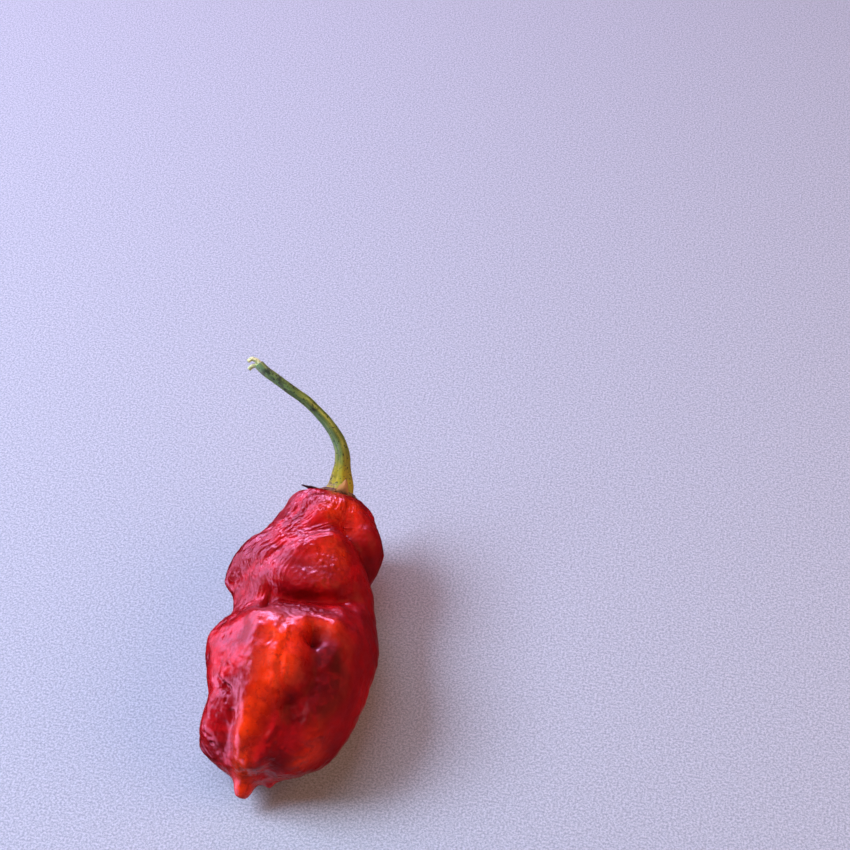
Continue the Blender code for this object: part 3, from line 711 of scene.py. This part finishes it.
def paint_points(obj, name, values):
    """Store a value, or a place, at each point of a mesh for its material."""
    values = np.asarray(values, dtype=np.float32)
    kind, field_name = ("FLOAT", "value") if values.ndim == 1 else ("FLOAT_VECTOR", "vector")
    layer = obj.data.attributes.new(name, kind, "POINT")
    layer.data.foreach_set(field_name, values.ravel())


class Nodes:
    """Short calls for building a material's nodes."""

    def __init__(self, name):
        self.material = bpy.data.materials.new(name)
        self.material.use_nodes = True
        self.tree = self.material.node_tree
        self.shader = self.tree.nodes["Principled BSDF"]
        self.place = self.tree.nodes.new("ShaderNodeTexCoord").outputs["Object"]

    def link(self, output, socket):
        self.tree.links.new(output, socket)

    def set(self, name, value):
        self.shader.inputs[name].default_value = value

    def attribute(self, name):
        node = self.tree.nodes.new("ShaderNodeAttribute")
        node.attribute_name = name
        return node.outputs["Fac"]

    def noise(self, size, detail=3.0, stretch=(1, 1, 1), rough=0.5, warp=0.0):
        """Noise whose features are about size millimetres across."""
        mapping = self.tree.nodes.new("ShaderNodeMapping")
        mapping.inputs["Scale"].default_value = [s / (size * MM) for s in stretch]
        self.link(self.place, mapping.inputs["Vector"])
        node = self.tree.nodes.new("ShaderNodeTexNoise")
        node.inputs["Scale"].default_value = 1.0
        node.inputs["Detail"].default_value = detail
        node.inputs["Roughness"].default_value = rough
        node.inputs["Distortion"].default_value = warp
        self.link(mapping.outputs["Vector"], node.inputs["Vector"])
        return node.outputs["Fac"]

    def noise_along(self, name, detail, rough):
        """Noise in the places that a mesh holds for its grain."""
        place = self.tree.nodes.new("ShaderNodeAttribute")
        place.attribute_name = name
        node = self.tree.nodes.new("ShaderNodeTexNoise")
        node.inputs["Scale"].default_value = 1.0
        node.inputs["Detail"].default_value = detail
        node.inputs["Roughness"].default_value = rough
        self.link(place.outputs["Vector"], node.inputs["Vector"])
        return node.outputs["Fac"]

    def math(self, kind, a, b):
        """The sum or product of two outputs or numbers, from 0 to 1."""
        node = self.tree.nodes.new("ShaderNodeMath")
        node.operation = kind
        node.use_clamp = True
        for socket, value in zip(node.inputs, (a, b)):
            if isinstance(value, (int, float)):
                socket.default_value = value
            else:
                self.link(value, socket)
        return node.outputs[0]

    def spread(self, value, low, high, to_low=0.0, to_high=1.0):
        """A smooth step of the value, from one number at low to another at high."""
        node = self.tree.nodes.new("ShaderNodeMapRange")
        node.interpolation_type = "SMOOTHSTEP"
        node.inputs["From Min"].default_value = low
        node.inputs["From Max"].default_value = high
        node.inputs["To Min"].default_value = to_low
        node.inputs["To Max"].default_value = to_high
        self.link(value, node.inputs["Value"])
        return node.outputs["Result"]

    def mix(self, share, a, b):
        """Colour a where share is 0 and b where it is 1."""
        node = self.tree.nodes.new("ShaderNodeMix")
        node.data_type = "RGBA"
        self.link(share, node.inputs["Factor"])
        for socket, value in ((node.inputs[6], a), (node.inputs[7], b)):
            if isinstance(value, tuple):
                socket.default_value = (*value, 1.0)
            else:
                self.link(value, socket)
        return node.outputs[2]

    def bump(self, heights):
        """Chain bumps of (height output, depth in millimetres)."""
        last = None
        for height, depth in heights:
            node = self.tree.nodes.new("ShaderNodeBump")
            node.inputs["Strength"].default_value = 1.0
            node.inputs["Distance"].default_value = depth * MM
            self.link(height, node.inputs["Height"])
            if last is not None:
                self.link(last, node.inputs["Normal"])
            last = node.outputs["Normal"]
        self.link(last, self.shader.inputs["Normal"])


# Skin colours, in linear light.
RED = (0.52, 0.005, 0.008)
# Crimson for the skin's random mottling, and for painted shade in the hollows, under the brow and down the
# shaded side.
MOTTLE_AND_SHADE_RED = (0.20, 0.0015, 0.004)
ORANGE_RED = (0.76, 0.038, 0.003)
# Near-brown for the skin's random flecks, and for painted shade in the pit, trough and creases.
FLECK_AND_HOLLOW_SHADE_RED = (0.07, 0.001, 0.002)


def skin_material():
    """Waxy red skin: orange-red where it is stretched, finely wrinkled, with painted shade: crimson under
    the brow and down the shaded side, nearly brown in the hollows.
    """
    skin = Nodes("pod skin")
    blotch = skin.noise(9.0, 4.0, rough=0.6, warp=0.6)
    patch = skin.noise(3.0, 4.0, rough=0.6)
    colour = skin.mix(skin.spread(blotch, 0.38, 0.66), MOTTLE_AND_SHADE_RED, RED)
    orange = skin.math("MULTIPLY", skin.attribute("orange"), skin.spread(patch, 0.25, 0.6, 0.45, 1.0))
    colour = skin.mix(orange, colour, ORANGE_RED)
    # Painted shade: crimson where the skin lies in a hollow, under the brow or on its shaded side.
    painted_shade = skin.math("MULTIPLY", skin.attribute("painted_shade"), skin.spread(patch, 0.3, 0.7, 1.0, 0.6))
    colour = skin.mix(painted_shade, colour, MOTTLE_AND_SHADE_RED)
    # Painted shade: nearly brown in the pit, the trough and the creases.
    hollow_shade = skin.math("MULTIPLY", skin.attribute("hollow_shade"), skin.spread(patch, 0.25, 0.65, 1.0, 0.75))
    colour = skin.mix(hollow_shade, colour, FLECK_AND_HOLLOW_SHADE_RED)
    mottle = skin.spread(skin.noise(1.5, 4.0, rough=0.65, warp=0.5), 0.48, 0.66, 0.0, 0.55)
    colour = skin.mix(mottle, colour, MOTTLE_AND_SHADE_RED)
    fleck = skin.spread(skin.noise(0.5, 2.0, rough=0.7), 0.62, 0.74, 0.0, 0.35)
    colour = skin.mix(fleck, colour, FLECK_AND_HOLLOW_SHADE_RED)
    skin.link(colour, skin.shader.inputs["Base Color"])
    sheen = skin.noise(2.2, 4.0, rough=0.6)
    dull = skin.math("ADD", skin.attribute("pimply"), skin.math("MULTIPLY", skin.attribute("painted_shade"), 1.6))
    rough = skin.math("ADD", skin.spread(sheen, 0.3, 0.7, 0.19, 0.31), skin.math("MULTIPLY", dull, 0.1))
    skin.link(rough, skin.shader.inputs["Roughness"])
    skin.set("Specular IOR Level", 0.4)
    skin.set("Coat Weight", 0.15)
    skin.set("Coat Roughness", 0.2)
    skin.set("Subsurface Weight", 0.12)
    skin.set("Subsurface Radius", (1.0, 0.12, 0.05))
    skin.set("Subsurface Scale", 0.0012)
    grain = skin.noise(0.4, 3.0, rough=0.6)
    grain = skin.math("MULTIPLY", grain, skin.spread(skin.attribute("pimply"), 0.0, 1.0, 0.35, 1.0))
    ripple = skin.noise(0.6, 3.0, stretch=(1.0, 0.45, 1.0), rough=0.6, warp=0.5)
    leather = skin.math("MULTIPLY", ripple, skin.spread(skin.attribute("wrinkled"), 0.0, 1.0, 0.25, 1.0))
    skin.bump(((leather, 0.17), (grain, 0.07)))
    return skin.material


STEM_GREEN = (0.10, 0.15, 0.03)
# Bluish green for the painted reflection of the sky on the stem's left-facing side.
STEM_SKY_SHEEN = (0.07, 0.19, 0.10)
STEM_YELLOW = (0.36, 0.30, 0.015)
STEM_PALE = (0.36, 0.42, 0.08)
STEM_STREAK = (0.03, 0.055, 0.02)
STEM_DARK = (0.010, 0.016, 0.016)


def stem_material():
    """Green stem: a painted reflection of the bluish sky on one side, yellow at its foot, with a pale rib,
    streaks and bruises.
    """
    stem = Nodes("green stem")
    along = stem.attribute("along")
    fibre = stem.noise_along("grain", 3.0, 0.65)
    # Painted reflection of the bluish sky on the stem's left side.
    colour = stem.mix(stem.attribute("sky_sheen"), STEM_GREEN, STEM_SKY_SHEEN)
    colour = stem.mix(stem.spread(fibre, 0.45, 0.75, 0.0, 0.5), colour, STEM_PALE)
    yellow = stem.spread(along, 0.02, 0.36, 1.0, 0.0)
    patchy = stem.spread(stem.noise(1.6, 3.0), 0.3, 0.6, 0.35, 1.0)
    colour = stem.mix(stem.math("MULTIPLY", yellow, patchy), colour, STEM_YELLOW)
    colour = stem.mix(stem.math("MULTIPLY", stem.attribute("rib"), 0.9), colour, STEM_PALE)
    streak = stem.spread(fibre, 0.42, 0.25, 0.0, 0.75)
    colour = stem.mix(streak, colour, STEM_STREAK)
    speck = stem.spread(stem.noise(0.42, 1.0, rough=0.4), 0.62, 0.69)
    colour = stem.mix(stem.math("MULTIPLY", speck, 0.85), colour, STEM_DARK)
    bruise = stem.spread(stem.noise(0.9, 3.0, rough=0.65), 0.44, 0.56)
    bruise = stem.math("MULTIPLY", bruise, stem.attribute("bruised"))
    colour = stem.mix(bruise, colour, STEM_DARK)
    stem.link(colour, stem.shader.inputs["Base Color"])
    stem.link(stem.spread(fibre, 0.3, 0.7, 0.34, 0.55), stem.shader.inputs["Roughness"])
    stem.set("Subsurface Weight", 0.06)
    stem.set("Subsurface Radius", (0.5, 0.8, 0.2))
    stem.set("Subsurface Scale", 0.0006)
    stem.bump(((fibre, 0.07), (stem.noise(0.25, 2.0), 0.03)))
    return stem.material


TORN = (0.36, 0.46, 0.16)
CREAM = (0.85, 0.90, 0.62)


def torn_material():
    """Torn fibres: pale cream-green, dry at the very end."""
    torn = Nodes("torn end")
    fibre = torn.noise(0.35, 3.0, rough=0.6)
    torn.link(torn.mix(torn.spread(fibre, 0.35, 0.7), TORN, CREAM), torn.shader.inputs["Base Color"])
    torn.set("Roughness", 0.6)
    torn.bump(((fibre, 0.05),))
    return torn.material


CALYX_BROWN = (0.035, 0.018, 0.012)
CALYX_PAPER = (0.19, 0.10, 0.05)
CALYX_TAN = (0.36, 0.18, 0.06)
CALYX_CHARRED = (0.018, 0.010, 0.010)


def calyx_material():
    """Dried calyx: papery brown with tan edges and near-black curled tips."""
    calyx = Nodes("dried calyx")
    paper = calyx.noise(0.9, 4.0, rough=0.65)
    colour = calyx.mix(calyx.spread(paper, 0.35, 0.65), CALYX_BROWN, CALYX_PAPER)
    colour = calyx.mix(calyx.attribute("tan"), colour, CALYX_TAN)
    colour = calyx.mix(calyx.attribute("char"), colour, CALYX_CHARRED)
    calyx.link(colour, calyx.shader.inputs["Base Color"])
    calyx.set("Roughness", 0.78)
    calyx.bump(((calyx.noise(0.5, 3.0, rough=0.65), 0.09),))
    return calyx.material


GROUND_LOW = (0.21, 0.26, 0.34)
GROUND_HIGH = (0.43, 0.50, 0.64)


def floor_material():
    """A plain pale lavender-grey ground with a fine matt grain."""
    floor = Nodes("plain ground")
    grain = floor.noise(0.4, 3.0, rough=0.7)
    colour = floor.mix(floor.spread(grain, 0.3, 0.7), GROUND_LOW, GROUND_HIGH)
    floor.link(colour, floor.shader.inputs["Base Color"])
    floor.set("Roughness", 0.75)
    floor.bump(((grain, 0.05),))
    return floor.material


def make_skin(pod):
    grid, paint = skin_points(pod)
    points, faces = capped(grid[1:-1], grid[0, 0], grid[-1, 0])
    skin = solid("pod_skin", points, faces, skin_material())
    for number, name in enumerate(("orange", "painted_shade", "hollow_shade", "wrinkled", "pimply")):
        layer = paint[:, :, number]
        paint_points(skin, name, np.concatenate([layer[0, :1], layer[1:-1].ravel(), layer[-1, :1]]))
    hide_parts("pod")


# The calyx in detail: distances from its middle for its underside, distances and rises for its seat and
# rim, then the steps along each tooth, its thickness at the root and how much of that it loses.
CALYX_UNDER = (0.0, 0.8, 1.6, 2.4, 2.8, 3.1, 3.4, COLLAR_RADIUS)
CALYX_TOP = ((0.0, 0.0), (1.6, 0.0), (2.6, 0.0), (SEAT_RADIUS, 0.0), (3.0, 0.45), (3.15, 0.6), (3.4, 0.5))
TOOTH_STEPS = 14
TOOTH_THICKNESS = 0.45
TOOTH_THINNING = 0.28
# Where the tan tooth and the dark one are round the crown, and how wide their colour spreads.
TAN_TOOTH = (66, 24)
DARK_TOOTH = (174, 34)


def noise_round(angle, radius, height):
    """Blender's smooth noise at places round a circle."""
    circle = [Vector((radius * math.cos(a), radius * math.sin(a), height)) for a in angle]
    return np.array([noise.noise(place) for place in circle])


def calyx_grids(pod, sides):
    """Two grids of points from the middle of the calyx to its ragged edge: its underside and its top."""
    centre, sideways, upwards, outward = crown_frame(pod)
    outline = pod.rows[: pod.first + 200]
    reach = np.hypot(outline[:, 1], outline[:, 4]) / math.sqrt(2)
    angle = np.linspace(0.0, 2 * math.pi, sides, endpoint=False)
    under, top = [], []
    for radius in CALYX_UNDER:
        row = np.array([[np.interp(radius, reach, column) for column in outline.T]])
        ring = pod.skin(row, angle)[0][0]
        under.append(ring + GAP * outward)
    radial = np.cos(angle)[:, None] * sideways + np.sin(angle)[:, None] * upwards
    low_rim = 0.75 + 0.25 * noise_round(angle, 2, 0.5)
    for radius, rise in CALYX_TOP:
        height = SEAT_HEIGHT + rise * low_rim
        top.append(centre + radius * radial + height[:, None] * outward)
    collar = under[-1]
    top.append(collar + TOOTH_THICKNESS * outward)
    shapes = np.array([tooth_shape(math.degrees(a)) for a in angle])
    jag = noise_round(angle, 6, 2.5)
    length = shapes[:, 0] * (1 + 0.25 * jag)
    place = collar
    for step in range(1, TOOTH_STEPS + 1):
        share = step / TOOTH_STEPS
        curl = np.radians(shapes[:, 1] * (0.6 + 0.5 * share) + 14 * jag * share)[:, None]
        way = np.cos(curl) * radial + np.sin(curl) * outward
        face = np.cos(curl) * outward - np.sin(curl) * radial
        place = place + (length / TOOTH_STEPS)[:, None] * way
        ripple = 0.10 * np.sin(9 * angle + 3.0 * share)[:, None] * share
        thickness = TOOTH_THICKNESS - TOOTH_THINNING * share
        under.append(place + ripple * face)
        top.append(place + (thickness + ripple) * face)
    return np.array(under), np.array(top), angle


def near_tooth(degrees, middle, spread):
    """How near each angle round the crown is to a tooth, from 0 to 1."""
    return np.exp(-((np.abs((degrees - middle + 180) % 360 - 180) / spread) ** 4))


def make_calyx(pod):
    under, top, angle = calyx_grids(pod, CALYX_SIDES)
    rings = np.concatenate([under[1:], top[:0:-1]])
    points, faces = capped(rings, under[0, 0], top[0, 0])
    calyx = solid("calyx_dried", points, faces, calyx_material())
    count = len(under) - 1
    out = np.concatenate([np.arange(1, count + 1), np.arange(count, 0, -1)]) / count
    degrees = np.degrees(angle)
    tan = smoothstep(0.4, 0.7, out)[:, None] * near_tooth(degrees, *TAN_TOOTH)
    char = smoothstep(0.35, 0.8, out)[:, None] * near_tooth(degrees, *DARK_TOOTH)
    for name, values in (("tan", tan), ("char", char)):
        paint_points(calyx, name, np.concatenate([[0.0], values.ravel(), [0.0]]))
    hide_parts("calyx")


# Which way the stem's pale rib and its painted bluish sky reflection face, and its bruises: where each is
# and its size.
STEM_RIB_WAY = np.array([0.50, -0.41, 0.77])
STEM_SKY_SHEEN_WAY = np.array([-0.85, -0.20, 0.48])
STEM_BRUISES = (
    ((-12.6, 40.4, 36.2), 1.3),
    ((-10.6, 39.9, 35.2), 1.5),
    ((-14.8, 41.2, 37.2), 1.0),
    ((-5.2, 38.6, 31.9), 0.8),
    ((-1.6, 32.9, 21.6), 1.3),
    ((-0.6, 31.5, 20.4), 1.2),
)
# The slivers' rings, sides and ribs.
SLIVER_RINGS = 40
SLIVER_SIDES = 20
SLIVER_RIBS = 3
SLIVER_RIB = 0.12


def make_stem(pod):
    centre, _, _, outward = crown_frame(pod)
    foot = centre + (SEAT_HEIGHT + GAP) * outward
    start = (tuple(foot), tuple(foot + FOOT_RISE * outward))
    line = (*start, *STEM_LINE)
    rings, middle = tube_points(line, STEM_RADII, STALK_RINGS, STALK_SIDES, STEM_RIBS, STEM_RIB)
    outwards = rings - middle[:, None]
    radius = np.linalg.norm(outwards, axis=2)
    outwards = outwards / radius[..., None]
    flat = rings.reshape(-1, 3)
    dents = 0.10 * field(flat / 2.6, 11.0) + 0.04 * field(flat / 1.1, 12.0)
    angle = np.linspace(0.0, 2 * math.pi, STALK_SIDES, endpoint=False)
    grooves = 0.02 * np.cos(15 * angle) + 0.012 * np.cos(23 * angle)
    rings = rings + outwards * (dents.reshape(radius.shape) + grooves)[..., None]
    points, faces = capped(rings)
    stem = solid("stem_green", points, faces, stem_material())
    share = np.repeat(np.linspace(0.0, 1.0, STALK_RINGS), STALK_SIDES)
    turn = np.tile(angle, STALK_RINGS)
    places = rings.reshape(-1, 3)
    facing = outwards.reshape(-1, 3)
    rib = np.clip(facing @ STEM_RIB_WAY, 0.0, 1.0) ** 40
    rib = rib * smoothstep(0.1, 0.3, share) * smoothstep(0.75, 0.5, share)
    # Painted reflection: bluish sky mirrored on the side of the stem that faces up and to the left.
    sky_sheen = smoothstep(-0.1, 0.9, facing @ STEM_SKY_SHEEN_WAY) * smoothstep(0.1, 0.35, share)
    bruised = np.zeros(len(places))
    for middle, size in STEM_BRUISES:
        away = np.linalg.norm(places - np.array(middle), axis=1)
        bruised = np.maximum(bruised, np.exp(-((away / size) ** 2)))
    grain = np.column_stack([1.4 * np.cos(turn), 1.4 * np.sin(turn), 6.0 * share]) * 1.6
    painted = {"along": share, "rib": rib, "sky_sheen": sky_sheen, "bruised": bruised, "grain": grain}
    for name, values in painted.items():
        paint_points(stem, name, np.concatenate([values[:1], values, values[-1:]]))
    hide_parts("stem")
    torn = torn_material()
    for number, line in enumerate(SLIVERS):
        rings, _ = tube_points(line, SLIVER_RADII, SLIVER_RINGS, SLIVER_SIDES, SLIVER_RIBS, SLIVER_RIB)
        flat = rings.reshape(-1, 3)
        rings = rings + (0.05 * field(flat / 0.5, 13.0)).reshape(rings.shape[:2])[..., None]
        points, faces = capped(rings)
        sliver = solid("stem_sliver_%d" % (number + 1), points, faces, torn)


# The floor, in metres: the reach of the part under the pepper across and along it, then of the rest.
FLOOR_NEAR = (0.018, 0.033)
FLOOR_FAR = 3.0
FLOOR_SIDES = 64


def ground_piece(name, points, faces, material, mirrored):
    """A flat part of the floor, which glossy surfaces mirror or not."""
    mesh = bpy.data.meshes.new(name)
    mesh.from_pydata(points, [], faces)
    floor = bpy.data.objects.new(name, mesh)
    bpy.context.scene.collection.objects.link(floor)
    mesh.materials.append(material)
    floor.visible_glossy = mirrored


def make_floor():
    """A flat floor in two parts: only the part under the pepper is mirrored in its skin."""
    turns = [2.0 * math.pi * side / FLOOR_SIDES for side in range(FLOOR_SIDES)]
    across, along = FLOOR_NEAR
    near = [(across * math.cos(turn), along * math.sin(turn), 0.0) for turn in turns]
    far = [(FLOOR_FAR * math.cos(turn), FLOOR_FAR * math.sin(turn), 0.0) for turn in turns]
    ring = []
    for side in range(FLOOR_SIDES):
        after = (side + 1) % FLOOR_SIDES
        ring.append((side, FLOOR_SIDES + side, FLOOR_SIDES + after, after))
    material = floor_material()
    ground_piece("ground", near + far, ring, material, False)
    ground_piece("ground_near", near, [tuple(range(FLOOR_SIDES))], material, True)


# The camera's turn, tilt and place follow from how the pepper sits in the photograph's frame.
CAMERA_TURN = 11.0
CAMERA_TILT = 45.0
CAMERA_PLACE = (0.066488, -0.221482, 0.296481)
CAMERA_LENS = 85.0


def make_camera():
    data = bpy.data.cameras.new("camera")
    data.lens = CAMERA_LENS
    data.sensor_width = 36.0
    data.clip_start = 0.01
    camera = bpy.data.objects.new("camera", data)
    bpy.context.scene.collection.objects.link(camera)
    camera.location = CAMERA_PLACE
    camera.rotation_euler = (math.radians(90 - CAMERA_TILT), 0.0, math.radians(CAMERA_TURN))
    bpy.context.scene.camera = camera


# Each light: its place, its width and height, its power and its colour, whether it lights the surfaces
# and whether they mirror it. All of them face the same spot, low in the pepper's middle.
LIGHTS = (
    ("window", (-0.72, 0.55, 0.36), (1.15, 0.50), 11.8, (0.90, 0.40, 0.84), False, True),
    ("crest window", (-0.16, 0.83, 0.50), (0.55, 0.20), 9.5, (0.92, 0.42, 0.86), False, True),
    ("ground glow", (-0.94, 0.10, -0.12), (1.4, 0.5), 4.8, (0.90, 0.36, 0.66), False, True),
    ("low window", (-0.80, -0.34, -0.30), (1.0, 0.5), 8.5, (0.88, 0.32, 0.66), False, True),
    ("key", (-0.52, -0.04, 0.54), (0.40, 0.40), 9.8, (0.84, 0.86, 1.0), True, False),
    ("overhead", (-0.12, 0.02, 0.9), (0.5, 0.5), 2.2, (0.92, 0.93, 1.0), True, False),
    ("front fill", (0.15, -0.80, 0.5), (0.6, 0.6), 0.9, (0.95, 0.86, 0.92), True, False),
    ("warm fill", (0.5, 0.0, 0.35), (0.5, 0.4), 2.6, (1.0, 0.46, 0.22), True, False),
)
AIR = (0.55, 0.62, 0.95)
AIR_STRENGTH = 0.015
FACED = (0.0, 0.005, 0.01)


def make_lights():
    for name, place, size, power, colour, lighting, mirrored in LIGHTS:
        data = bpy.data.lights.new(name, "AREA")
        data.shape = "RECTANGLE"
        data.size, data.size_y = size
        data.energy = power
        data.color = colour
        light = bpy.data.objects.new(name, data)
        bpy.context.scene.collection.objects.link(light)
        light.visible_diffuse = lighting
        light.visible_glossy = mirrored
        light.location = place
        towards = Vector(FACED) - Vector(place)
        light.rotation_euler = towards.to_track_quat("-Z", "Y").to_euler()
    world = bpy.data.worlds.new("air")
    world.use_nodes = True
    background = world.node_tree.nodes["Background"]
    background.inputs["Color"].default_value = (*AIR, 1.0)
    background.inputs["Strength"].default_value = AIR_STRENGTH
    bpy.context.scene.world = world
    bpy.context.scene.view_settings.view_transform = "Standard"


make_camera()
make_lights()
make_floor()
pod_form = Pod()
make_skin(pod_form)
make_calyx(pod_form)
make_stem(pod_form)
